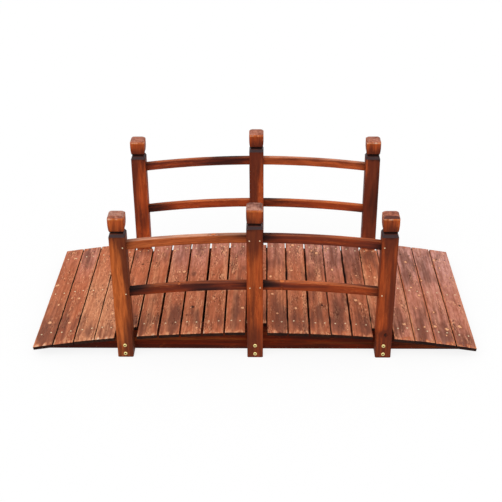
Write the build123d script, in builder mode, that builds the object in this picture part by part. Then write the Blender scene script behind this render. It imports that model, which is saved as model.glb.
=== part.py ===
"""Garden moon bridge: an arched deck of boards on three stringers, with a mortised railing along each side.

The origin is on the ground under the middle of the deck. +X runs along the deck, +Y across it and +Z up.
"""

import os
from math import asin, cos, sin, sqrt

from build123d import *

# Deck boards, laid side by side along the arch
deck_length = 1500.0
deck_rise = 61.4
deck_end_height = 41.4
board_count = 21
board_length = 670.0
board_thickness = 13.0
board_gap = 4.7
board_edge_radius = 1.5
seat_clearance = 0.05
gap_shares = (0.88, 0.91, 0.60, 0.85, 1.23, 1.67, 1.23, 1.77, 1.32, 0.75,
              0.69, 0.94, 1.24, 0.48, 1.03, 0.52, 0.79, 0.65, 0.71, 0.86)

# Stringers, flat underneath and sawn to the arch on top
stringer_thickness = 36.0
stringer_overhang = 55.0
stringer_setback = 6.0

# Posts, screwed to the outer stringers at these boards, off each board's middle by a share of the gap
post_boards = (4, 10, 16)
post_offset_shares = (-0.5, -0.9, 0.2)
post_width = 53.0
post_edge_radius = 3.0
end_post_height = 534.5
middle_post_height = 563.5
head_top_chamfer = 8.0
head_face_height = 44.0
head_undercut = 7.0
neck_height = 3.0
neck_inset = 6.5
shoulder_height = 12.0
post_board_clearance = 2.0

# Rails, sawn to a curve and let into the sides of the posts
rail_thickness = 19.0
rail_height = 29.5
rail_radius = 3350.0
upper_rail_crown = 462.0
lower_rail_crown = 287.0
rail_edge_chamfer = 1.5
tenon_length = 12.0
mortise_clearance = 0.3
cut_overrun = 5.0

# The arch of the deck's top surface
arch_radius = (deck_length**2 / 4 + deck_rise**2) / (2 * deck_rise)
arch_centre_z = deck_end_height + deck_rise - arch_radius
arch_length = 2 * arch_radius * asin(deck_length / 2 / arch_radius)
board_width = (arch_length - board_gap * sum(gap_shares)) / board_count

# Faces that the pieces share
stringer_face_y = board_length / 2 - stringer_overhang
post_centre_y = stringer_face_y + post_width / 2
short_board_length = 2 * (stringer_face_y - post_board_clearance)


def height_on_arc(radius, centre_z, x):
    """Height above ground of an arc about the origin's vertical line, at a distance along the deck."""
    return centre_z + sqrt(radius**2 - x**2)


def board_plane(index):
    """Plane on the top face of a board, with its x axis across the board along the arch."""
    gaps_before = board_gap * sum(gap_shares[:index])
    angle = (board_width * (index + 1 / 2) + gaps_before - arch_length / 2) / arch_radius
    top = (arch_radius * sin(angle), 0, arch_centre_z + arch_radius * cos(angle))
    return Plane(origin=top, x_dir=(cos(angle), 0, -sin(angle)), z_dir=(sin(angle), 0, cos(angle)))


def arched_band(y, crown_z, depth, radius, x_from, x_to):
    """Upright face between two concentric arcs, at a distance across the deck."""
    centre_z = crown_z - radius
    x_middle = (x_from + x_to) / 2
    top = [(x, height_on_arc(radius, centre_z, x)) for x in (x_from, x_middle, x_to)]
    bottom = [(x, height_on_arc(radius - depth, centre_z, x)) for x in (x_to, x_middle, x_from)]
    with BuildSketch(Plane.XZ.offset(-y)) as band:
        with BuildLine():
            ThreePointArc(*top)
            Line(top[-1], bottom[0])
            ThreePointArc(*bottom)
            Line(bottom[-1], top[0])
        make_face()
    return band.sketch


def post_profile(plane, height):
    """Outline of a post with its shoulder, neck and chamfered head."""
    half = post_width / 2
    neck_half = half - neck_inset
    head_top_edge = height - head_top_chamfer
    head_base = head_top_edge - head_face_height
    neck_top = head_base - head_undercut
    neck_base = neck_top - neck_height
    body_top = neck_base - shoulder_height
    with BuildSketch(plane) as profile:
        with BuildLine():
            Polyline(
                (0, 0),
                (half, 0),
                (half, body_top),
                (neck_half, neck_base),
                (neck_half, neck_top),
                (half, head_base),
                (half, head_top_edge),
                (half - head_top_chamfer, height),
                (0, height),
            )
            mirror(about=Plane.YZ)
        make_face()
    return profile.sketch


def export_piece(piece, name):
    piece.label = name
    export_step(piece, f"parts/{name}.step")


def make_board(index):
    plane = board_plane(index)
    length = short_board_length if index in post_boards else board_length
    with BuildPart() as board:
        with BuildSketch(plane):
            Rectangle(board_width, length)
        extrude(amount=-board_thickness)
        top_face = board.faces().sort_by(Axis(plane.origin, plane.z_dir))[-1]
        fillet(top_face.edges(), radius=board_edge_radius)
    export_piece(board.part, f"deck_board_{index + 1:02d}")


def make_stringer(name, near_y):
    """A stringer whose face towards +Y lies at near_y."""
    radius = arch_radius - board_thickness - seat_clearance
    half_length = deck_length / 2 - stringer_setback
    end_z = height_on_arc(radius, arch_centre_z, half_length)
    with BuildPart() as stringer:
        with BuildSketch(Plane.XZ.offset(-near_y)):
            with BuildLine():
                Polyline((-half_length, end_z), (-half_length, 0), (half_length, 0), (half_length, end_z))
                ThreePointArc((half_length, end_z), (0, arch_centre_z + radius), (-half_length, end_z))
            make_face()
        extrude(amount=stringer_thickness)
    export_piece(stringer.part, f"{name}_stringer")


def make_post(name, x, y, height, rail_sides):
    """A post with a mortise for each rail on each of its rail_sides, -1 towards -X and 1 towards +X."""
    half = post_width / 2
    mortise_width = rail_thickness + 2 * mortise_clearance
    mortise_depth = tenon_length + mortise_clearance
    across = Plane((x, y, 0), x_dir=(1, 0, 0), z_dir=(0, -1, 0))
    along = Plane((x, y, 0), x_dir=(0, 1, 0), z_dir=(1, 0, 0))
    with BuildPart() as post:
        with BuildSketch(Plane((x, y, 0))):
            RectangleRounded(post_width, post_width, post_edge_radius)
        extrude(amount=height)
        extrude(post_profile(across, height), amount=half, both=True, mode=Mode.INTERSECT)
        extrude(post_profile(along, height), amount=half, both=True, mode=Mode.INTERSECT)
        for side in rail_sides:
            x_inner = x + side * (half - mortise_depth)
            x_outer = x + side * (half + cut_overrun)
            for crown_z in (upper_rail_crown, lower_rail_crown):
                band = arched_band(
                    y,
                    crown_z + mortise_clearance,
                    rail_height + 2 * mortise_clearance,
                    rail_radius + mortise_clearance,
                    x_inner,
                    x_outer,
                )
                extrude(band, amount=mortise_width / 2, both=True, mode=Mode.SUBTRACT)
    export_piece(post.part, f"{name}_post")


def make_rail(name, y, crown_z, x_from, x_to):
    """A curved rail between two post centres, with a tenon let into each post."""
    reach = post_width / 2 - tenon_length
    band = arched_band(y, crown_z, rail_height, rail_radius, x_from + reach, x_to - reach)
    with BuildPart() as rail:
        extrude(band, amount=rail_thickness / 2, both=True)
        chamfer(rail.edges().filter_by(GeomType.CIRCLE), length=rail_edge_chamfer)
    export_piece(rail.part, f"{name}_rail")


os.makedirs("parts", exist_ok=True)

for index in range(board_count):
    make_board(index)

make_stringer("front", stringer_thickness - stringer_face_y)
make_stringer("middle", stringer_thickness / 2)
make_stringer("back", stringer_face_y)

left_x, middle_x, right_x = (
    board_plane(index).origin.X + share * board_gap for index, share in zip(post_boards, post_offset_shares)
)
for side_name, y in (("front", -post_centre_y), ("back", post_centre_y)):
    make_post(f"{side_name}_left", left_x, y, end_post_height, (1,))
    make_post(f"{side_name}_middle", middle_x, y, middle_post_height, (-1, 1))
    make_post(f"{side_name}_right", right_x, y, end_post_height, (-1,))
    for level, crown_z in (("upper", upper_rail_crown), ("lower", lower_rail_crown)):
        make_rail(f"{side_name}_left_{level}", y, crown_z, left_x, middle_x)
        make_rail(f"{side_name}_right_{level}", y, crown_z, middle_x, right_x)
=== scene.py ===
"""Looks of a wooden garden moon bridge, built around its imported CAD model, in metres."""
from math import atan2, copysign, cos, exp, hypot, radians, sin, sqrt
from random import Random

import bmesh
import bpy
from mathutils import Matrix, Vector, noise


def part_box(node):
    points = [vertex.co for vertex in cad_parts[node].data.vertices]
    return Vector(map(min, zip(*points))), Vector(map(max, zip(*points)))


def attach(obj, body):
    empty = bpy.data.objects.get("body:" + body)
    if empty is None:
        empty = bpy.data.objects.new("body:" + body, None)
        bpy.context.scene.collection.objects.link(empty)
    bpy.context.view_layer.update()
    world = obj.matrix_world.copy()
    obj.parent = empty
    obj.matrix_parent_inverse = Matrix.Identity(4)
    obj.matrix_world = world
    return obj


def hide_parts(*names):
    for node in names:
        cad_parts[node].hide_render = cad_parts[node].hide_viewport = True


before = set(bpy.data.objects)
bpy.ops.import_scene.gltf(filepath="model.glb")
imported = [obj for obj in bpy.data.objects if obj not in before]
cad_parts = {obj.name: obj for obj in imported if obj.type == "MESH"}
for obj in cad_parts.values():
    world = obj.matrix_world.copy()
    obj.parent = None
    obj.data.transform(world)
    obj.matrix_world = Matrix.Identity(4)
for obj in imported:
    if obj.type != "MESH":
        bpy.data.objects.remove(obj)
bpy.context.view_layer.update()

MM = 0.001
SHARP_ANGLE = radians(40)
X_AXIS, Y_AXIS, Z_AXIS = Vector((1, 0, 0)), Vector((0, 1, 0)), Vector((0, 0, 1))

# Sizes that the CAD model shares
DECK_CROWN = 102.8 * MM
ARCH_RADIUS = 4611.3 * MM
ARCH_CENTRE_Z = DECK_CROWN - ARCH_RADIUS
BOARD_COUNT = 21
BOARD_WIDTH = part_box("deck_board_11")[1].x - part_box("deck_board_11")[0].x
BOARD_THICKNESS = 13.0 * MM
SEAT_CLEARANCE = 0.05 * MM
STRINGER_RADIUS = ARCH_RADIUS - BOARD_THICKNESS - SEAT_CLEARANCE
RAIL_RADIUS = 3350.0 * MM
RAIL_THICKNESS = 19.0 * MM
RAIL_HEIGHT = 29.5 * MM
HEAD_CHAMFER = 8.0 * MM
HEAD_FACE = 44.0 * MM
HEAD_UNDERCUT = 7.0 * MM
NECK_HEIGHT = 3.0 * MM
NECK_INSET = 6.5 * MM
SHOULDER = 12.0 * MM

# Forms that only the looks have: eased edges, and heads that narrow a little towards the groove
BOARD_EASE = 1.8 * MM
POST_EASE = 3.2 * MM
RAIL_EASE = 1.8 * MM
STRINGER_EASE = 1.2 * MM
HEAD_TAPER = 2.0 * MM

# Nails and screws: where they are, and the radius of a nail's head and its rise from the wood
NAIL_ROW_Y = 263 * MM
DECK_NAIL = (3.0 * MM, 0.6 * MM)
RAIL_NAIL = (2.2 * MM, 0.5 * MM)
SCREW_HEIGHTS = (15 * MM, 48 * MM)
SOCKET_RADIUS = 3.0 * MM

# Heat from which wood burns to grey ash, and at which it is all ash
ASH_BEGINS, ALL_ASH = 1.5, 2.0

# The photograph's camera, in metres, millimetres of lens and degrees
CAMERA_PLACE = (0.0418, -3.1572, 1.9776)
CAMERA_LENS = 72.39
CAMERA_TURN, CAMERA_DIP, CAMERA_ROLL = 1.01, 28.979, -0.398


def to_linear(colour):
    """Linear colour of an sRGB hex value such as '#b0602f'."""
    parts = [int(colour[i:i + 2], 16) / 255 for i in (1, 3, 5)]
    return [c / 12.92 if c <= 0.04045 else ((c + 0.055) / 1.055) ** 2.4 for c in parts] + [1.0]


def add(tree, kind, inputs=None, **settings):
    """Adds a node with its settings. An input is a value, a socket, or a node whose first output is used."""
    node = tree.nodes.new(kind)
    for name, value in settings.items():
        setattr(node, name, value)
    for name, value in (inputs or {}).items():
        if isinstance(value, bpy.types.Node):
            value = next(socket for socket in value.outputs if socket.enabled)
        if isinstance(value, bpy.types.NodeSocket):
            tree.links.new(value, node.inputs[name])
        else:
            node.inputs[name].default_value = value
    return node


def smooth_step(value, low, high):
    t = min(max((value - low) / (high - low), 0.0), 1.0)
    return t * t * (3 - 2 * t)


# Timber: how each piece grew and how it was stained

class Timber:
    """How one piece grew: where its pith lay, how wide its rings are and where its branches left knots.

    A place in a piece is its distance along the grain, across its face, and through it towards that face.
    """

    def __init__(self, seed, length, width, face, knot_count, ring_mm=(4.5, 7.0)):
        draw = Random(seed)
        self.shift = Vector((draw.uniform(-9, 9), draw.uniform(-9, 9), draw.uniform(-9, 9)))
        self.pith = (draw.uniform(-0.35, 0.35) * width, face - copysign(draw.uniform(35, 75) * MM, face))
        self.ring_width = draw.uniform(*ring_mm) * MM
        self.taper = draw.uniform(-0.016, 0.016)
        self.wobble = draw.uniform(5, 11) * MM
        self.knots = []
        self.face = face
        for _ in range(knot_count):
            along = draw.uniform(-0.46, 0.46) * length
            across = draw.uniform(-0.40, 0.40) * width
            self.add_knot(along, across, draw.uniform(2.5, 6.5) * MM, float(draw.random() < 0.15))

    def add_knot(self, along, across, radius, dark):
        """A branch that grew from the pith to a place on the piece's face."""
        angle = atan2(self.face - self.pith[1], across - self.pith[0])
        self.knots.append((along, cos(angle), sin(angle), radius, dark))

    def growth(self, a, b, c):
        """Ring count, closeness to a knot from 0 to 1, and 1 for a dark knot, at a point of the piece."""
        slow = noise.noise(Vector((a / 0.26, b / 0.09, c / 0.09)) + self.shift)
        sway = noise.noise(Vector((a / 0.45, 3.7, 1.3)) + self.shift)
        pb = b - self.pith[0] - 0.012 * sway
        pc = c - self.pith[1]
        radius = hypot(pb, pc) + self.taper * a + self.wobble * slow
        closeness = 0.0
        dark = 0.0
        for along, ub, uc, size, kind in self.knots:
            if pb * ub + pc * uc < 0:
                continue
            far = hypot((a - along) / 1.3, pb * uc - pc * ub)
            radius += 1.5 * size * exp(-((far / (2.2 * size)) ** 2))
            near = 1 - far / (2 * size)
            if near > closeness:
                closeness = near
                dark = kind
        return radius / self.ring_width, closeness, dark


def burnt(burns, a, b):
    """How much hotter a place got, from burns of (along, across, reach along, reach across, strength) in mm."""
    return sum(strength * exp(-((a / MM - along) / long) ** 2 - ((b / MM - across) / wide) ** 2)
               for along, across, long, wide, strength in burns)


def grow(bm, axes, timber, finish):
    """Stores on each vertex how the timber grew there, and its tone, scorching and charring."""
    grain = bm.verts.layers.float_vector.new("grain")
    growth = bm.verts.layers.float_vector.new("growth")
    stain = bm.verts.layers.float_vector.new("stain")
    for v in bm.verts:
        a, b, c = (v.co[i] for i in axes)
        v[grain] = Vector((a, b, c)) + timber.shift
        v[growth] = timber.growth(a, b, c)
        v[stain] = finish(a, b, c)


def finish_piece(bm, name, materials, node=None):
    """Makes the bmesh a piece of the bridge, at the origin with its place in its mesh."""
    bmesh.ops.recalc_face_normals(bm, faces=bm.faces)
    for face in bm.faces:
        face.smooth = True
    mesh = bpy.data.meshes.new(name)
    bm.to_mesh(mesh)
    bm.free()
    mesh.set_sharp_from_angle(angle=SHARP_ANGLE)
    for material in materials:
        mesh.materials.append(material)
    piece = bpy.data.objects.new(name, mesh)
    bpy.context.scene.collection.objects.link(piece)
    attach(piece, "root")
    if node:
        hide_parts(node)


def slice_square(bm, axis, places):
    """Cuts the whole mesh with planes square to an axis."""
    for place in places:
        bmesh.ops.bisect_plane(bm, geom=bm.verts[:] + bm.edges[:] + bm.faces[:], dist=1e-7,
                               plane_co=axis * place, plane_no=axis)


def long_edges(bm, axis, length):
    """Edges that run along an axis for most of a length."""
    return [e for e in bm.edges if abs((e.verts[0].co - e.verts[1].co).dot(axis)) > length / 2]


# Materials

# Colours that all the wood shares
WORN_AND_HIGHLIGHT_CREAM = "#f2d6bc"
PIT_BROWN = "#3c1c12"
KNOT_BLACK = "#2c1712"
SOOT_BLACK = "#1c1414"
ASH_GREY = "#34292b"


def stained_fir(name, light, late, scorched, pale, weathered_and_sheen, rings, bands, flecks, drawn_out):
    """Fir, sawn, scorched with a flame, brushed and stained.

    The eye sees dark late-wood lines on red-brown early wood, broad bands and fine flecks of stain, cloudy
    scorch marks, pale orange knots with dark rims, edges rubbed to cream, cream highlights painted along edges,
    a pale sheen painted on the deck's back, grey end grain on the heads, ash-grey shoulders below them, nearly
    black cut ends, and gap walls darkened as painted shade. Rings, bands and flecks are strengths from
    0 to 1, and drawn_out is how far the scorch marks stretch along the grain.
    """
    material = bpy.data.materials.new(name)
    material.use_nodes = True
    tree = material.node_tree
    shader = tree.nodes["Principled BSDF"]
    grain, growth, stain = [add(tree, "ShaderNodeAttribute", attribute_name=layer).outputs["Vector"]
                            for layer in ("grain", "growth", "stain")]
    ring, knot, dark_knot = add(tree, "ShaderNodeSeparateXYZ", {0: growth}).outputs
    tone, heat, char = add(tree, "ShaderNodeSeparateXYZ", {0: stain}).outputs

    # Marks drawn out along the grain: millimetres along and across it, and how much detail they have.
    # Fir's fibres are finer than 2.4 mm, which is about as fine as the picture shows.
    sizes = {"fibre": (50, 2.4, 2), "fleck": (14, 3.6, 2), "cluster": (90, 24, 1), "streak": (220, 11, 2),
             "band": (900, 26, 1), "cloud": (28 * drawn_out, 9, 3), "patch": (100 * drawn_out, 28, 2)}
    marks = {}
    for mark, (along, across, detail) in sizes.items():
        scale = (1 / (along * MM), 1 / (across * MM), 1 / (across * MM))
        place = add(tree, "ShaderNodeVectorMath", {0: grain, 1: scale}, operation="MULTIPLY")
        marks[mark] = add(tree, "ShaderNodeTexNoise", {"Vector": place, "Scale": 1.0, "Detail": detail})

    # Each ring darkens slowly to late wood, then starts pale again, and shows more in some streaks
    ragged = add(tree, "ShaderNodeMath", {0: marks["fibre"], 1: 0.4, 2: ring}, operation="MULTIPLY_ADD")
    turn = add(tree, "ShaderNodeMath", {0: ragged}, operation="FRACT")
    rise = add(tree, "ShaderNodeMapRange", {"Value": turn, "From Min": 0.42, "From Max": 0.88},
               interpolation_type="SMOOTHSTEP")
    fall = add(tree, "ShaderNodeMapRange", {"Value": turn, "From Min": 1.0, "From Max": 0.92},
               interpolation_type="SMOOTHSTEP")
    late_wood = add(tree, "ShaderNodeMath", {0: rise, 1: fall}, operation="MULTIPLY")
    clear = add(tree, "ShaderNodeMapRange", {"Value": marks["streak"], "From Min": 0.25, "From Max": 0.60})
    ring_lines = add(tree, "ShaderNodeMath", {0: late_wood, 1: clear}, operation="MULTIPLY")

    # Scorching is cloudy, and darkest where the flame stayed longest
    hotter = add(tree, "ShaderNodeMath", {0: heat, 1: 0.6, 2: -0.34}, operation="MULTIPLY_ADD")
    smoke = add(tree, "ShaderNodeMath", {0: marks["patch"], 1: 1.5, 2: marks["streak"]},
                operation="MULTIPLY_ADD")
    scorch = add(tree, "ShaderNodeMath", {0: smoke, 1: 0.43, 2: hotter}, operation="MULTIPLY_ADD")

    # Pits and pale flecks come in clusters
    crowd = add(tree, "ShaderNodeMath", {0: marks["cluster"], 1: 0.5, 2: -0.25}, operation="MULTIPLY_ADD")
    pits = add(tree, "ShaderNodeMath", {0: marks["fleck"], 1: crowd}, operation="ADD")
    spots = add(tree, "ShaderNodeMath", {0: marks["fleck"], 1: crowd}, operation="SUBTRACT")

    # Knots have a ragged dark rim round a pale or a dark heart
    uneven = add(tree, "ShaderNodeMath", {0: marks["fleck"], 1: 0.9, 2: -0.45}, operation="MULTIPLY_ADD")
    knotty = add(tree, "ShaderNodeMath", {0: knot, 1: uneven}, operation="ADD")
    heart = add(tree, "ShaderNodeMix", {0: dark_knot, 6: to_linear(pale), 7: to_linear(KNOT_BLACK)},
                data_type="RGBA")

    # Charring fades unevenly
    patchy = add(tree, "ShaderNodeMath", {0: marks["patch"], 1: 1.6, 2: -0.8}, operation="MULTIPLY_ADD")
    begun = add(tree, "ShaderNodeMapRange", {"Value": char, "From Min": 0.02, "From Max": 0.2})
    soot = add(tree, "ShaderNodeMath", {0: patchy, 1: begun, 2: char}, operation="MULTIPLY_ADD")

    # Each layer covers the ones before it as its mark goes from low to high, up to its strength
    colour = to_linear(light)
    for mark, low, high, strength, over in (
        (marks["band"], 0.44, 0.62, bands, to_linear(late)),
        (marks["band"], 0.48, 0.34, bands, to_linear(pale)),
        # Tone above 1 turns cream, for worn edges and for highlights painted along edges. Tone below 0 turns to
        # the weathered colour, which on the deck's back is a painted sheen.
        (tone, 0.0, 1.0, 0.55, to_linear(pale)),
        (tone, 1.0, 2.2, 0.7, to_linear(WORN_AND_HIGHLIGHT_CREAM)),
        (tone, 0.0, -1.0, 0.80, to_linear(weathered_and_sheen)),
        (ring_lines, 0.0, 1.0, rings, to_linear(late)),
        (spots, 0.41, 0.27, flecks, to_linear(pale)),
        (marks["cloud"], 0.40, 0.64, 0.40, to_linear(late)),
        (scorch, 0.40, 0.72, 0.80, to_linear(scorched)),
        (pits, 0.60, 0.75, flecks, to_linear(PIT_BROWN)),
        (marks["fibre"], 0.52, 0.66, 0.30, to_linear(late)),
        (knotty, 0.20, 0.42, 0.6, to_linear(late)),
        (knotty, 0.46, 0.60, 0.9, heart),
        (soot, 0.1, 0.9, 0.95, to_linear(SOOT_BLACK)),
        (heat, ASH_BEGINS, ALL_ASH, 0.92, to_linear(ASH_GREY)),
    ):
        reach = {"Value": mark, "From Min": low, "From Max": high, "To Max": strength}
        share = add(tree, "ShaderNodeMapRange", reach, interpolation_type="SMOOTHSTEP")
        colour = add(tree, "ShaderNodeMix", {0: share, 6: colour, 7: over}, data_type="RGBA")
    tree.links.new(colour.outputs[2], shader.inputs["Base Color"])

    # Stain wears to a dull sheen along the streaks, and char is matt
    sheen = add(tree, "ShaderNodeMapRange", {"Value": marks["streak"], "From Min": 0.3, "From Max": 0.7,
                                             "To Min": 0.5, "To Max": 0.7})
    rough = add(tree, "ShaderNodeMath", {0: char, 1: 0.25, 2: sheen}, operation="MULTIPLY_ADD")
    tree.links.new(rough.outputs[0], shader.inputs["Roughness"])
    shader.inputs["IOR"].default_value = 1.45
    dulled = add(tree, "ShaderNodeMapRange", {"Value": char, "To Min": 0.15, "To Max": 0.05})
    tree.links.new(dulled.outputs[0], shader.inputs["Specular IOR Level"])

    # Brushing leaves the late wood proud and the fibres open
    hollow = add(tree, "ShaderNodeMath", {0: marks["fibre"], 1: -0.8}, operation="MULTIPLY")
    height = add(tree, "ShaderNodeMath", {0: late_wood, 1: 0.6, 2: hollow}, operation="MULTIPLY_ADD")
    bump = add(tree, "ShaderNodeBump", {"Height": height, "Strength": 0.5, "Distance": 0.35 * MM})
    tree.links.new(bump.outputs["Normal"], shader.inputs["Normal"])
    return material


deck_fir = stained_fir(
    "stained_fir_deck", light="#c66f4a", late="#8e472a", scorched="#683a2c", pale="#f2b284",
    weathered_and_sheen="#d49e94", rings=0.42, bands=0.25, flecks=0.75, drawn_out=1.0)
post_fir = stained_fir(
    "stained_fir_post", light="#b85226", late="#742c13", scorched="#4a2018", pale="#e07c3c",
    weathered_and_sheen="#b89080", rings=0.25, bands=0.2, flecks=0.25, drawn_out=2.2)
rail_fir = stained_fir(
    "stained_fir_rail", light="#b04a22", late="#6c2812", scorched="#3a1c1e", pale="#de7c44",
    weathered_and_sheen="#8a5c50", rings=0.4, bands=0.35, flecks=0.25, drawn_out=2.2)
# The stringers' own dark stain is darkened further with painted shade, as for the shadow under the deck's
# overhang.
shaded_stringer_fir = stained_fir(
    "stained_fir_stringer_painted_shade", light="#7c2404", late="#461102", scorched="#341008", pale="#984a1e",
    weathered_and_sheen="#7a5044", rings=0.8, bands=0.8, flecks=0.3, drawn_out=2.2)


def plated_steel(name, colour, roughness):
    """Steel pressed to shape and zinc plated: metallic, with a soft uneven bloom where the plating dulls."""
    material = bpy.data.materials.new(name)
    material.use_nodes = True
    tree = material.node_tree
    shader = tree.nodes["Principled BSDF"]
    place = add(tree, "ShaderNodeTexCoord").outputs["Object"]
    # The bloom is about 3 mm across
    bloom = add(tree, "ShaderNodeTexNoise", {"Vector": place, "Scale": 1 / (3 * MM), "Detail": 2.0})
    dull = [c * 0.6 for c in to_linear(colour)[:3]] + [1.0]
    paint = add(tree, "ShaderNodeMix", {0: bloom, 6: dull, 7: to_linear(colour)}, data_type="RGBA")
    tree.links.new(paint.outputs[2], shader.inputs["Base Color"])
    rough = add(tree, "ShaderNodeMapRange", {"Value": bloom, "To Min": roughness + 0.15, "To Max": roughness})
    tree.links.new(rough.outputs[0], shader.inputs["Roughness"])
    shader.inputs["Metallic"].default_value = 1.0
    return material


nail_steel = plated_steel("bright_zinc_plated_nail_steel", "#f6dcb4", 0.38)
dull_steel = plated_steel("dulled_nail_steel", "#4a3630", 0.55)
screw_steel = plated_steel("yellow_zinc_plated_screw_steel", "#f2de98", 0.35)
# The socket's near-black colour is painted shade in its hollow.
socket_shade_steel = plated_steel("dark_socket_with_painted_shade", "#1a1410", 0.6)


# Deck boards: tone from grey -1 to pale 1, heat, and burns, from the left
BOARD_FINISH = {
    1: (0.25, 0.40, ((-265, -12, 95, 30, 0.4), (-110, -15, 80, 22, 0.2), (130, 0, 110, 60, -0.15))),
    2: (0.0, 0.44, ((275, -12, 95, 22, 0.3), (-190, -15, 95, 20, 0.3), (120, 0, 110, 60, -0.1))),
    3: (0.6, 0.34, ((-20, -10, 50, 12, 0.3), (-180, -20, 65, 12, 0.3), (-270, 0, 80, 40, 0.25),
                    (130, 0, 110, 60, -0.2))),
    4: (0.65, 0.32, ((-280, 0, 70, 40, 0.2), (-60, 0, 110, 60, -0.15))),
    5: (0.15, 0.42, ((265, 0, 55, 30, 0.35), (-260, 0, 70, 40, 0.25), (130, 0, 90, 60, -0.2))),
    6: (0.1, 0.38, ((230, 10, 70, 20, 0.12), (-270, 0, 80, 40, 0.15), (130, 0, 90, 60, -0.1))),
    7: (-0.1, 0.44, ((240, 0, 80, 22, 0.25), (-205, 5, 90, 24, 0.45), (130, 0, 90, 60, -0.15))),
    8: (-0.1, 0.38, ((245, 0, 80, 25, 0.1), (65, -10, 20, 10, 0.45), (-250, 10, 65, 20, 0.16))),
    9: (0.05, 0.36, ((-270, 0, 60, 40, 0.1), (130, 0, 90, 60, -0.15))),
    10: (0.0, 0.42, ((85, 15, 50, 12, 0.24), (-170, 0, 145, 14, 0.4), (250, 0, 80, 30, 0.1))),
    11: (0.1, 0.47, ()),
    12: (0.0, 0.43, ((-250, 5, 130, 24, 0.25), (190, 0, 140, 30, 0.25))),
    13: (0.1, 0.45, ((-200, -20, 95, 10, 0.16), (-270, 0, 80, 40, 0.15))),
    14: (-0.1, 0.45, ((220, 0, 110, 30, 0.15), (-220, -5, 95, 24, 0.2))),
    15: (-0.2, 0.48, ((205, 5, 110, 20, 0.25), (-175, 0, 160, 24, 0.3), (-280, 0, 60, 40, 0.15))),
    16: (-0.1, 0.45, ((180, 0, 150, 30, 0.4), (-270, 5, 80, 24, 0.3))),
    17: (0.3, 0.42, ((245, 5, 80, 24, 0.35), (-270, 0, 60, 40, 0.2))),
    18: (-0.4, 0.40, ((-230, 0, 95, 20, 0.26),)),
    19: (-0.45, 0.40, ((-235, 0, 95, 26, 0.46), (170, 0, 150, 35, 0.4))),
    20: (-0.5, 0.40, ((170, 0, 140, 30, 0.4), (-270, 5, 80, 26, 0.45))),
    21: (-0.45, 0.38, ((-280, 0, 80, 40, 0.3), (280, 0, 60, 30, 0.15))),
}

# How far the flame has singed the edges along each gap, from the left; the same values also darken the gap's
# walls and edges as painted shade. Edges that are not singed are rubbed, and carry a painted highlight.
GAP_SINGE_AND_SHADE = {1: 0.4, 2: 0.3, 3: 0.4, 4: 0.5, 7: 0.3, 9: 0.2,
               10: 0.9, 11: 0.8, 12: 0.5, 13: 0.5, 14: 0.75, 15: 0.75, 16: 0.35}


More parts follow.
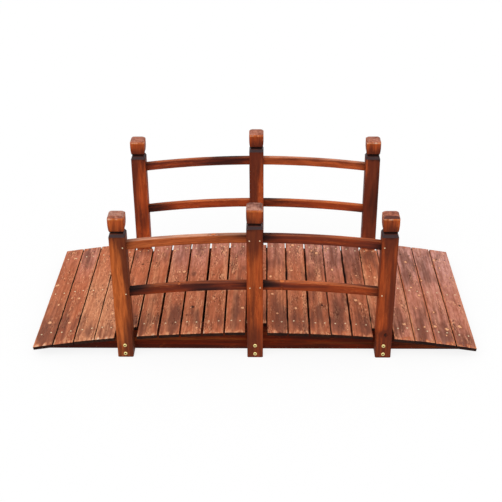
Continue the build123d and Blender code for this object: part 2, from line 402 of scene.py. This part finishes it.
def make_board(index):
    """A deck board: a fine grid for its top, whose rim is drawn out and down round its edges."""
    node = f"deck_board_{index:02d}"
    low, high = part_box(node)
    draw = Random(100 + index)
    # Boards are cut a little short by eye, some at one end and some at the other
    low.y += max(0.05, draw.uniform(-1.5, 2.5)) * MM
    high.y -= max(0.05, draw.uniform(-1.5, 2.5)) * MM
    centre = (low + high) / 2
    length = high.y - low.y
    tilt = atan2(centre.x, centre.z - ARCH_CENTRE_Z)
    half_width, half_length, top = BOARD_WIDTH / 2, length / 2, BOARD_THICKNESS / 2
    ease = BOARD_EASE

    bm = bmesh.new()
    bmesh.ops.create_grid(bm, x_segments=36, y_segments=int(length / (5.5 * MM)), size=0.5)
    bmesh.ops.scale(bm, verts=bm.verts, vec=(BOARD_WIDTH - 2 * ease, length - 2 * ease, 1))
    bmesh.ops.translate(bm, verts=bm.verts, vec=(0, 0, top))
    rim = [e for e in bm.edges if e.is_boundary]
    steps = [(ease * sin(radians(t)), ease * (1 - cos(radians(t)))) for t in (30, 60, 90)]
    steps += [(ease, BOARD_THICKNESS * 0.6), (ease, BOARD_THICKNESS - ease / 2), (ease / 2, BOARD_THICKNESS)]
    reach = 0.0
    depth = 0.0
    for out, down in steps:
        made = bmesh.ops.extrude_edge_only(bm, edges=rim)["geom"]
        verts = [g for g in made if isinstance(g, bmesh.types.BMVert)]
        rim = [g for g in made if isinstance(g, bmesh.types.BMEdge) and g.is_boundary]
        grow_x = (half_width - ease + out) / (half_width - ease + reach)
        grow_y = (half_length - ease + out) / (half_length - ease + reach)
        bmesh.ops.scale(bm, verts=verts, vec=(grow_x, grow_y, 1))
        bmesh.ops.translate(bm, verts=verts, vec=(0, 0, depth - down))
        reach, depth = out, down
    bmesh.ops.edgeloop_fill(bm, edges=rim)

    timber = Timber(1000 + index, length, BOARD_WIDTH, top, draw.randint(2, 5))
    tone, heat, burns = BOARD_FINISH[index]

    def finish(a, b, c):
        """Ends are charred, and sides are charred and darkened as painted shade for the gaps. Boards darken
        towards the front and take a pale painted sheen towards the back. The top's edges are worn pale or
        scorched along some gaps, and the long edges also carry a painted highlight.
        """
        at_end = half_length - abs(a)
        at_side = half_width - abs(b)
        y = centre.y + a
        singe_and_gap_shade = GAP_SINGE_AND_SHADE.get(index if b > 0 else index - 1, 0.0)
        # Towards the back the tone falls to the weathered colour, as a pale painted sheen.
        tone_and_painted_sheen = tone - 0.5 * smooth_step(y, -0.05, 0.30)
        # Heat rises towards the front, so the boards are darker there.
        hot = heat + burnt(burns, a, b) + 0.08 * smooth_step(y, -0.14, -0.26)
        # Below the top, cut ends are charred, and the sides and underside are darkened towards black as painted
        # shade for the gaps, the more so along scorched gaps.
        if c < top - 1.2 * MM:
            return tone_and_painted_sheen, hot, 1.2 if at_end < 2.5 * MM else 0.6 + 0.5 * singe_and_gap_shade
        chipped = smooth_step(noise.noise(Vector((b / 0.014, a / 0.03, index))), -0.15, 0.4)
        rubbed = smooth_step(noise.noise(Vector((b / 0.03, a / 0.06, 50 + index))), -0.1, 0.4)
        # Front ends are chipped pale. The long edges are rubbed pale and also carry a painted highlight, less
        # along scorched gaps.
        wear_and_edge_highlight = 1.5 * chipped * exp(-((at_end / (13 * MM)) ** 2))
        wear_and_edge_highlight += (0.4 + rubbed) * (1 - singe_and_gap_shade) * exp(-((at_side / (3 * MM)) ** 2))
        # Along scorched gaps the top's edges are charred, which also paints shade beside the gap.
        char = singe_and_gap_shade * (1 - 0.4 * rubbed) * exp(-((at_side / (2.6 * MM)) ** 2))
        return tone_and_painted_sheen + wear_and_edge_highlight, hot - 0.6 * wear_and_edge_highlight, char

    grow(bm, (1, 0, 2), timber, finish)

    # Brushing leaves the late wood and the knots standing proud, and wears the long edges unevenly
    growth = bm.verts.layers.float_vector["growth"]
    cup = draw.uniform(-0.4, 0.4) * MM
    worn = draw.uniform(0, 50)
    for v in bm.verts:
        x, y, z = v.co
        edge = half_width - abs(x)
        lift = cup * ((x / half_width) ** 2 - 1 / 3)
        if z > top - ease:
            turn = v[growth][0] % 1.0
            lift += 0.22 * MM * (smooth_step(turn, 0.2, 0.85) - smooth_step(turn, 0.85, 1.0))
            lift += 0.35 * MM * smooth_step(v[growth][1], 0.3, 0.6)
            if edge < 4 * MM:
                chip = max(0.0, noise.noise(Vector((y / 0.03, worn, x / 0.02))))
                lift -= 0.7 * MM * chip * (1 - edge / (4 * MM))
        v.co.z += lift - 0.2 * MM
    bmesh.ops.rotate(bm, verts=bm.verts, cent=(0, 0, 0), matrix=Matrix.Rotation(tilt, 3, "Y"))
    bmesh.ops.translate(bm, verts=bm.verts, vec=centre)
    finish_piece(bm, f"fir_board_{index:02d}", [deck_fir], node)


for index in range(1, BOARD_COUNT + 1):
    make_board(index)


# Posts

def make_post(node, seed, tone, heat, top, chamfer, burns, knots=()):
    """A post with its head.

    The head's top, and the chamfer over its outer face, have their own tone and heat. Burns and knots of
    (height, across, radius, 1 if dark) are in mm.
    """
    low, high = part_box(node)
    centre = (low + high) / 2
    height = high.z
    half = (high.x - low.x) / 2
    outward = copysign(half, centre.y)
    head_top = height - HEAD_CHAMFER
    head_base = head_top - HEAD_FACE
    neck_top = head_base - HEAD_UNDERCUT
    neck_base = neck_top - NECK_HEIGHT
    body_top = neck_base - SHOULDER

    def half_at(z):
        """Half width of the post at a height: body, shoulder, neck, rounded head and chamfered top."""
        if z <= body_top:
            return half - 1.2 * MM * smooth_step(2 * MM - z, 0, 2 * MM)
        if z <= neck_base:
            return half - NECK_INSET * (z - body_top) / SHOULDER
        if z <= neck_top:
            return half - NECK_INSET
        if z <= head_base:
            t = (z - neck_top) / HEAD_UNDERCUT
            return half - HEAD_TAPER - (NECK_INSET - HEAD_TAPER) * (1 - t ** 0.75)
        if z <= head_top:
            t = min((z - head_base) / (0.6 * HEAD_FACE), 1.0)
            return half - HEAD_TAPER * (1 - t) ** 2
        return half - HEAD_CHAMFER * ((z - head_top) / HEAD_CHAMFER) ** 1.35

    levels = [0.0, 2 * MM]
    while levels[-1] < body_top - 6.5 * MM:
        levels.append(levels[-1] + 6 * MM)
    levels += [body_top - 0.3 * MM, body_top, body_top + 0.3 * MM]
    for low_z, high_z, count in ((body_top + 0.3 * MM, neck_base, 4), (neck_base, neck_top, 2),
                                 (neck_top, head_base, 6), (head_base, head_top - 1.5 * MM, 8)):
        levels += [low_z + (high_z - low_z) * (i + 1) / count for i in range(count)]
    levels += [head_top, head_top + 1.2 * MM]
    levels += [levels[-1] + (height - levels[-1]) * (i + 1) / 5 for i in range(5)]

    bm = bmesh.new()
    bmesh.ops.create_cube(bm, size=1)
    bmesh.ops.scale(bm, verts=bm.verts, vec=(2 * half, 2 * half, height))
    bmesh.ops.translate(bm, verts=bm.verts, vec=(0, 0, height / 2))
    bmesh.ops.bevel(bm, geom=long_edges(bm, Z_AXIS, height), offset=POST_EASE, offset_type="OFFSET",
                    affect="EDGES", segments=3, profile=0.5, material=-1)
    for axis in (X_AXIS, Y_AXIS):
        slice_square(bm, axis, [cut * 4.8 * MM for cut in range(-4, 5)])
    cuts = len(levels) - 2
    bmesh.ops.subdivide_edges(bm, edges=long_edges(bm, Z_AXIS, height), cuts=cuts)
    for v in bm.verts:
        z = levels[round(v.co.z / height * (cuts + 1))]
        size = half_at(z) / half
        v.co = (v.co.x * size, v.co.y * size, z)

    timber = Timber(seed, height, 2 * half, outward, 0)
    for along, across, radius, dark in knots:
        timber.add_knot(along * MM, across * MM, radius * MM, dark)

    def finish(a, b, c):
        """The shoulder is burnt to ash and the groove to char, the head's face darkens towards its bottom, and
        the head's top edge is worn pale and painted with a highlight.
        """
        hot = heat + burnt(burns, a, b)
        if body_top + 0.2 * MM < a < neck_base - 0.2 * MM:
            return tone, ALL_ASH, 0.0
        if body_top < a < head_base - 1 * MM:
            return tone, hot, 1.3
        if a < 1 * MM:
            return tone, hot, 0.5
        # The edge round the head's top is worn pale and painted paler as a highlight.
        if abs(a - head_top) < 2 * MM:
            return 1.3 + 1.2 * noise.noise(Vector((b, c, a)) / 0.012 + timber.shift), 0.25, 0.0
        if a > head_top:
            outer = c * copysign(1, outward) > half - HEAD_CHAMFER - 1 * MM
            return (*(chamfer if outer else top), 0.0)
        if a > body_top:
            # The head's face darkens towards its bottom.
            head_darkness = 0.5 * heat + 0.24 + 0.3 * smooth_step(head_top - a, 6 * MM, HEAD_FACE)
            return 0.3 * tone, head_darkness, 0.0
        below = body_top - a
        char = max(0.5 * exp(-below / (6 * MM)), smooth_step(hot, 0.8, 2.0))
        return tone, hot + 0.35 * exp(-below / (45 * MM)), char

    grow(bm, (2, 0, 1), timber, finish)
    for v in bm.verts:
        if v.co.z > 3 * MM:
            spot = v.co / 0.05 + timber.shift
            v.co += Vector((noise.noise(spot), noise.noise(spot + Vector((5, 5, 5))), 0)) * 0.25 * MM
    bmesh.ops.translate(bm, verts=bm.verts, vec=(centre.x, centre.y, 0))
    finish_piece(bm, f"fir_{node}", [post_fir], node)


make_post("front_left_post", 21, 0.75, 0.22, (-1.0, 0.30), (-0.6, 0.62),
          ((400, 22, 150, 15, 0.7), (470, 0, 70, 60, 0.35), (150, 24, 160, 12, 0.5), (30, 0, 110, 60, 0.45)))
make_post("front_middle_post", 27, 0.05, 0.50, (-0.8, 0.60), (-1.0, 0.35),
          ((450, 0, 70, 60, 0.2), (330, 0, 60, 40, -0.25), (190, 14, 60, 16, -0.4), (40, 0, 110, 60, 0.35)))
make_post("front_right_post", 23, 0.0, 0.42, (-0.5, 0.50), (-0.5, 1.75),
          ((420, 0, 90, 60, 0.2), (220, 20, 120, 14, 0.5), (97, 2, 12, 18, 0.6), (30, 0, 90, 60, 0.4)),
          ((92, 8, 6.5, 1.0),))
make_post("back_left_post", 24, 0.1, 0.48, (-0.6, 0.45), (-0.6, 0.7),
          ((430, -22, 130, 12, 0.6), (290, 15, 60, 25, -0.3), (230, -10, 60, 25, 0.5)))
make_post("back_middle_post", 25, -0.1, 0.70, (-0.6, 0.45), (-0.6, 0.6),
          ((380, -18, 200, 22, 0.45), (310, 16, 90, 14, -0.3)))
make_post("back_right_post", 26, -0.1, 0.52, (-0.6, 0.45), (-0.6, 0.5),
          ((260, 5, 120, 45, 0.9), (430, 20, 140, 16, 0.4)))


# Rails

def rail_middle(low, high, x):
    """Height of the middle of a rail at a distance along the deck, from the rail's box."""
    near_x = min(abs(low.x), abs(high.x))
    return high.z - RAIL_HEIGHT / 2 - sqrt(RAIL_RADIUS**2 - near_x**2) + sqrt(RAIL_RADIUS**2 - x**2)


def make_rail(node, seed, tone, heat, burns):
    """A curved rail. Its burns are charred stretches of (place along it from 0 to 1, reach, strength)."""
    low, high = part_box(node)
    length = high.x - low.x
    centre = (low + high) / 2

    bm = bmesh.new()
    bmesh.ops.create_cube(bm, size=1)
    bmesh.ops.scale(bm, verts=bm.verts, vec=(length, RAIL_THICKNESS, RAIL_HEIGHT))
    bmesh.ops.bevel(bm, geom=long_edges(bm, X_AXIS, length), offset=RAIL_EASE, offset_type="OFFSET",
                    affect="EDGES", segments=2, profile=0.5, material=-1)
    slice_square(bm, Y_AXIS, [cut * MM for cut in (-4, 0, 4)])
    slice_square(bm, Z_AXIS, [cut * MM for cut in (-7, -2.5, 2.5, 7, 11)])
    bmesh.ops.subdivide_edges(bm, edges=long_edges(bm, X_AXIS, length), cuts=80)

    timber = Timber(seed, length, RAIL_THICKNESS, RAIL_HEIGHT / 2, 1)

    def finish(a, b, c):
        """The top edge is painted pale as a highlight, and the burns are charred."""
        place = a / length + 0.5
        # A pale highlight is painted along the top edge.
        worn = 0.9 * smooth_step(c, RAIL_HEIGHT / 2 - 3 * MM, RAIL_HEIGHT / 2)
        char = max(strength * exp(-(((place - at) / reach) ** 2)) for at, reach, strength in burns)
        return tone + worn, heat, char

    grow(bm, (0, 1, 2), timber, finish)
    for v in bm.verts:
        x = v.co.x + centre.x
        wave = 0.3 * MM * noise.noise(Vector((x / 0.05, v.co.y / 0.02, v.co.z / 0.02)) + timber.shift)
        v.co = (x, v.co.y * (1 - abs(wave) / (9 * MM)) + centre.y,
                v.co.z * (1 - abs(wave) / (12 * MM)) + rail_middle(low, high, x))
    finish_piece(bm, f"fir_{node}", [rail_fir], node)


make_rail("front_left_upper_rail", 41, 0.7, 0.26, ((0.0, 0.10, 0.6), (0.95, 0.25, 0.3)))
make_rail("front_left_lower_rail", 42, 0.0, 0.62, ((0.0, 0.30, 0.7), (0.6, 0.2, 0.3), (1.0, 0.12, 0.5)))
make_rail("front_right_upper_rail", 43, 0.0, 0.68, ((0.0, 0.14, 0.8), (1.0, 0.10, 0.5)))
make_rail("front_right_lower_rail", 44, 0.1, 0.52, ((0.0, 0.14, 0.7), (1.0, 0.12, 0.6)))
make_rail("back_left_upper_rail", 45, -0.1, 0.60, ((0.0, 0.15, 0.5), (0.85, 0.25, 0.6)))
make_rail("back_left_lower_rail", 46, 0.0, 0.40, ((0.05, 0.25, 0.6), (0.7, 0.15, 0.3)))
make_rail("back_right_upper_rail", 47, 0.5, 0.30, ((1.0, 0.12, 0.4),))
make_rail("back_right_lower_rail", 48, 0.1, 0.40, ((0.1, 0.2, 0.7), (1.0, 0.2, 0.4)))


# Stringers

def make_stringer(node, seed):
    """A stringer, flat underneath and arched on top."""
    low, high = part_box(node)
    length = high.x - low.x
    thickness = high.y - low.y
    bm = bmesh.new()
    bmesh.ops.create_cube(bm, size=1)
    bmesh.ops.scale(bm, verts=bm.verts, vec=(length, thickness, 1))
    slice_square(bm, Y_AXIS, [cut * MM for cut in (-9, 0, 9)])
    slice_square(bm, Z_AXIS, (-0.3, -0.15, 0, 0.15, 0.3))
    bmesh.ops.subdivide_edges(bm, edges=long_edges(bm, X_AXIS, length), cuts=170)
    for v in bm.verts:
        top = ARCH_CENTRE_Z + sqrt(STRINGER_RADIUS**2 - v.co.x**2)
        v.co.z = (v.co.z + 0.5) * top
    corners = [e for e in bm.edges if e.calc_face_angle(0) > radians(60)]
    bmesh.ops.bevel(bm, geom=corners, offset=STRINGER_EASE, offset_type="OFFSET", affect="EDGES",
                    segments=2, profile=0.5, material=-1)
    timber = Timber(seed, length, thickness, 90 * MM, 6)

    def finish(a, b, c):
        """Only the cut ends are charred."""
        return 0.0, 0.5, 0.8 if length / 2 - abs(a) < 1.5 * MM else 0.0

    grow(bm, (0, 1, 2), timber, finish)
    bmesh.ops.translate(bm, verts=bm.verts, vec=((low.x + high.x) / 2, (low.y + high.y) / 2, 0))
    finish_piece(bm, f"fir_{node}", [shaded_stringer_fir], node)


for seed, node in ((61, "front_stringer"), (62, "middle_stringer"), (63, "back_stringer")):
    make_stringer(node, seed)


# Nails and screws

def nail_head(radius, rise):
    """A round nail head with an eased rim, half sunk in the wood."""
    bm = bmesh.new()
    bmesh.ops.create_cone(bm, cap_ends=True, segments=10, radius1=radius, radius2=radius, depth=2 * rise)
    rim = [e for e in bm.edges if all(v.co.z > 0 for v in e.verts)]
    bmesh.ops.bevel(bm, geom=rim, offset=rise * 0.8, offset_type="OFFSET", affect="EDGES",
                    segments=1, profile=0.5, material=-1)
    mesh = bpy.data.meshes.new("nail_head")
    bm.to_mesh(mesh)
    bm.free()
    return mesh


def screw_head():
    """A broad domed screw head with a hexagon socket, whose faces have the second material."""
    floor, lip = 0.1 * MM, 1.3 * MM
    dome = ((3.5, 1.8), (4.6, 1.7), (5.8, 1.2), (6.5, 0.4), (6.6, -0.4))
    outline = [(0, floor), (SOCKET_RADIUS, floor), (SOCKET_RADIUS, lip)]
    outline += [(r * MM, z * MM) for r, z in dome]
    bm = bmesh.new()
    verts = [bm.verts.new((r, 0, z)) for r, z in outline]
    edges = [bm.edges.new(pair) for pair in zip(verts, verts[1:])]
    bmesh.ops.spin(bm, geom=verts + edges, cent=(0, 0, 0), axis=(0, 0, 1), angle=radians(360), steps=24,
                   use_merge=True)
    bmesh.ops.remove_doubles(bm, verts=bm.verts, dist=0.01 * MM)
    socket = [v for v in bm.verts if hypot(v.co.x, v.co.y) < SOCKET_RADIUS + 0.1 * MM]
    for v in socket:
        around = (atan2(v.co.y, v.co.x) % radians(60)) - radians(30)
        flat = cos(radians(30)) / cos(around)
        v.co = (v.co.x * flat, v.co.y * flat, v.co.z)
    for face in bm.faces:
        face.material_index = int(all(v in socket for v in face.verts))
    mesh = bpy.data.meshes.new("screw_head")
    bm.to_mesh(mesh)
    bm.free()
    return mesh


def drive(name, head, materials, places):
    """Sets copies of a head in the wood as one piece, at places of (point, direction it looks)."""
    bm = bmesh.new()
    for point, outward in places:
        start = len(bm.verts)
        bm.from_mesh(head)
        bm.verts.ensure_lookup_table()
        turn = Z_AXIS.rotation_difference(outward).to_matrix().to_4x4()
        bmesh.ops.transform(bm, verts=bm.verts[start:], matrix=Matrix.Translation(point) @ turn)
    finish_piece(bm, name, materials)


def nail_deck():
    """Two nails through each board into each stringer. Those at the back right have lost their plating."""
    head = nail_head(*DECK_NAIL)
    for row, y in (("front", -NAIL_ROW_Y), ("middle", 0.0), ("back", NAIL_ROW_Y)):
        draw = Random(row)
        bright, dull = [], []
        for index in range(1, BOARD_COUNT + 1):
            low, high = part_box(f"deck_board_{index:02d}")
            centre = (low + high) / 2
            tilt = atan2(centre.x, centre.z - ARCH_CENTRE_Z)
            up = Vector((sin(tilt), 0, cos(tilt)))
            across = Vector((cos(tilt), 0, -sin(tilt)))
            for side in (-1, 1):
                place = centre + up * (BOARD_THICKNESS / 2 - 0.2 * MM)
                place += across * side * draw.uniform(14, 18) * MM
                place.y = y + draw.uniform(-5, 5) * MM
                (dull if row == "back" and index > 18 else bright).append((place, up))
        drive(f"deck_nails_{row}", head, [nail_steel], bright)
        if dull:
            drive(f"deck_dull_nails_{row}", head, [dull_steel], dull)


def nail_rails():
    """A nail through the outer face of a post into each rail end, near the middle of the rail's height."""
    head = nail_head(*RAIL_NAIL)
    for side, outward in (("front", -Y_AXIS), ("back", Y_AXIS)):
        draw = Random(side)
        places = []
        for post, way, bay in (("left", 1, "left"), ("middle", -1, "left"), ("middle", 1, "right"),
                               ("right", -1, "right")):
            low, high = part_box(f"{side}_{post}_post")
            for level in ("upper", "lower"):
                x = (low.x + high.x) / 2 + way * draw.uniform(15, 18) * MM
                z = rail_middle(*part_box(f"{side}_{bay}_{level}_rail"), x) + draw.uniform(0, 4) * MM
                places.append((Vector((x, (low if outward.y < 0 else high).y, z)), outward))
        drive(f"rail_nails_{side}", head, [nail_steel], places)


def screw_posts():
    """Two screws through the foot of each post into its stringer."""
    head = screw_head()
    for side, outward in (("front", -Y_AXIS), ("back", Y_AXIS)):
        for post in ("left", "middle", "right"):
            low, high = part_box(f"{side}_{post}_post")
            face_y = (low if outward.y < 0 else high).y
            places = [(Vector(((low.x + high.x) / 2, face_y, z)), outward) for z in SCREW_HEIGHTS]
            drive(f"{side}_{post}_post_screws", head, [screw_steel, socket_shade_steel], places)


nail_deck()
nail_rails()
screw_posts()


# Floor, light and camera

def white_floor():
    """White paper, with a faint shadow beside the bridge and dark painted shade under it. It throws up little
    light.
    """
    bm = bmesh.new()
    bmesh.ops.create_grid(bm, x_segments=1, y_segments=1, size=30)
    mesh = bpy.data.meshes.new("studio_floor")
    bm.to_mesh(mesh)
    bm.free()
    floor = bpy.data.objects.new("studio_floor", mesh)
    bpy.context.scene.collection.objects.link(floor)
    material = bpy.data.materials.new("matt_white_paper_floor")
    material.use_nodes = True
    tree = material.node_tree
    tree.nodes.clear()
    place = add(tree, "ShaderNodeTexCoord").outputs["Object"]
    away = add(tree, "ShaderNodeVectorMath", {0: place}, operation="ABSOLUTE")
    x, y, _ = add(tree, "ShaderNodeSeparateXYZ", {0: away}).outputs
    front_low, front_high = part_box("front_stringer")
    past_end = add(tree, "ShaderNodeMath", {0: x, 1: front_high.x}, operation="SUBTRACT")
    past_side = add(tree, "ShaderNodeMath", {0: y, 1: -front_low.y}, operation="SUBTRACT")
    outside = add(tree, "ShaderNodeMath", {0: past_end, 1: past_side}, operation="MAXIMUM")
    open_floor = add(tree, "ShaderNodeMapRange", {"Value": outside, "From Min": -18 * MM, "From Max": 0.0})
    path = add(tree, "ShaderNodeLightPath").outputs
    seen = add(tree, "ShaderNodeMath", {0: path["Is Camera Ray"], 1: path["Is Glossy Ray"]},
               operation="MAXIMUM")
    bounce = add(tree, "ShaderNodeBsdfDiffuse", {"Color": to_linear("#606060")})
    # Under the bridge the paper is painted dark as shade.
    under = add(tree, "ShaderNodeBsdfDiffuse", {"Color": to_linear("#2c2624")})
    lit = add(tree, "ShaderNodeBsdfDiffuse", {"Color": to_linear("#f6f6f6")})
    glow = add(tree, "ShaderNodeEmission", {"Color": (1, 1, 1, 1), "Strength": 1.0})
    paper = add(tree, "ShaderNodeMixShader", {0: 0.85, 1: lit, 2: glow})
    shown = add(tree, "ShaderNodeMixShader", {0: open_floor, 1: under, 2: paper})
    both = add(tree, "ShaderNodeMixShader", {0: seen, 1: bounce, 2: shown})
    add(tree, "ShaderNodeOutputMaterial", {"Surface": both})
    mesh.materials.append(material)


def studio_light():
    """A white surround and two broad lamps, the key from the front left and the fill from the front right."""
    scene = bpy.context.scene
    world = scene.world or bpy.data.worlds.new("studio")
    scene.world = world
    world.use_nodes = True
    tree = world.node_tree
    tree.nodes.clear()
    path = add(tree, "ShaderNodeLightPath").outputs
    seen = add(tree, "ShaderNodeMath", {0: path["Is Camera Ray"], 1: path["Is Glossy Ray"]},
               operation="MAXIMUM")
    soft = add(tree, "ShaderNodeBackground", {"Color": (1, 1, 1, 1), "Strength": 0.55})
    white = add(tree, "ShaderNodeBackground", {"Color": (1, 1, 1, 1), "Strength": 1.0})
    both = add(tree, "ShaderNodeMixShader", {0: seen, 1: soft, 2: white})
    add(tree, "ShaderNodeOutputWorld", {"Surface": both})
    softboxes = (("key_softbox", 1.7, 60, 42, -28), ("fill_softbox", 0.8, 80, 55, 40))
    for name, power, spread, tilt, turn in softboxes:
        lamp = bpy.data.lights.new(name, "SUN")
        lamp.energy = power
        lamp.angle = radians(spread)
        lamp_object = bpy.data.objects.new(name, lamp)
        lamp_object.rotation_euler = (radians(tilt), 0, radians(turn))
        scene.collection.objects.link(lamp_object)
    scene.view_settings.view_transform = "Standard"


def set_camera():
    """The photograph's camera: 29 degrees down, from the front, 3.7 m away."""
    camera = bpy.data.objects.new("camera", bpy.data.cameras.new("camera"))
    camera.data.lens = CAMERA_LENS
    camera.data.sensor_width = 36.0
    turn = Matrix.Rotation(radians(CAMERA_TURN), 4, "Z")
    dip = Matrix.Rotation(radians(90 - CAMERA_DIP), 4, "X")
    roll = Matrix.Rotation(radians(CAMERA_ROLL), 4, "Z")
    camera.matrix_world = Matrix.Translation(CAMERA_PLACE) @ turn @ dip @ roll
    bpy.context.scene.collection.objects.link(camera)
    bpy.context.scene.camera = camera


white_floor()
studio_light()
set_camera()
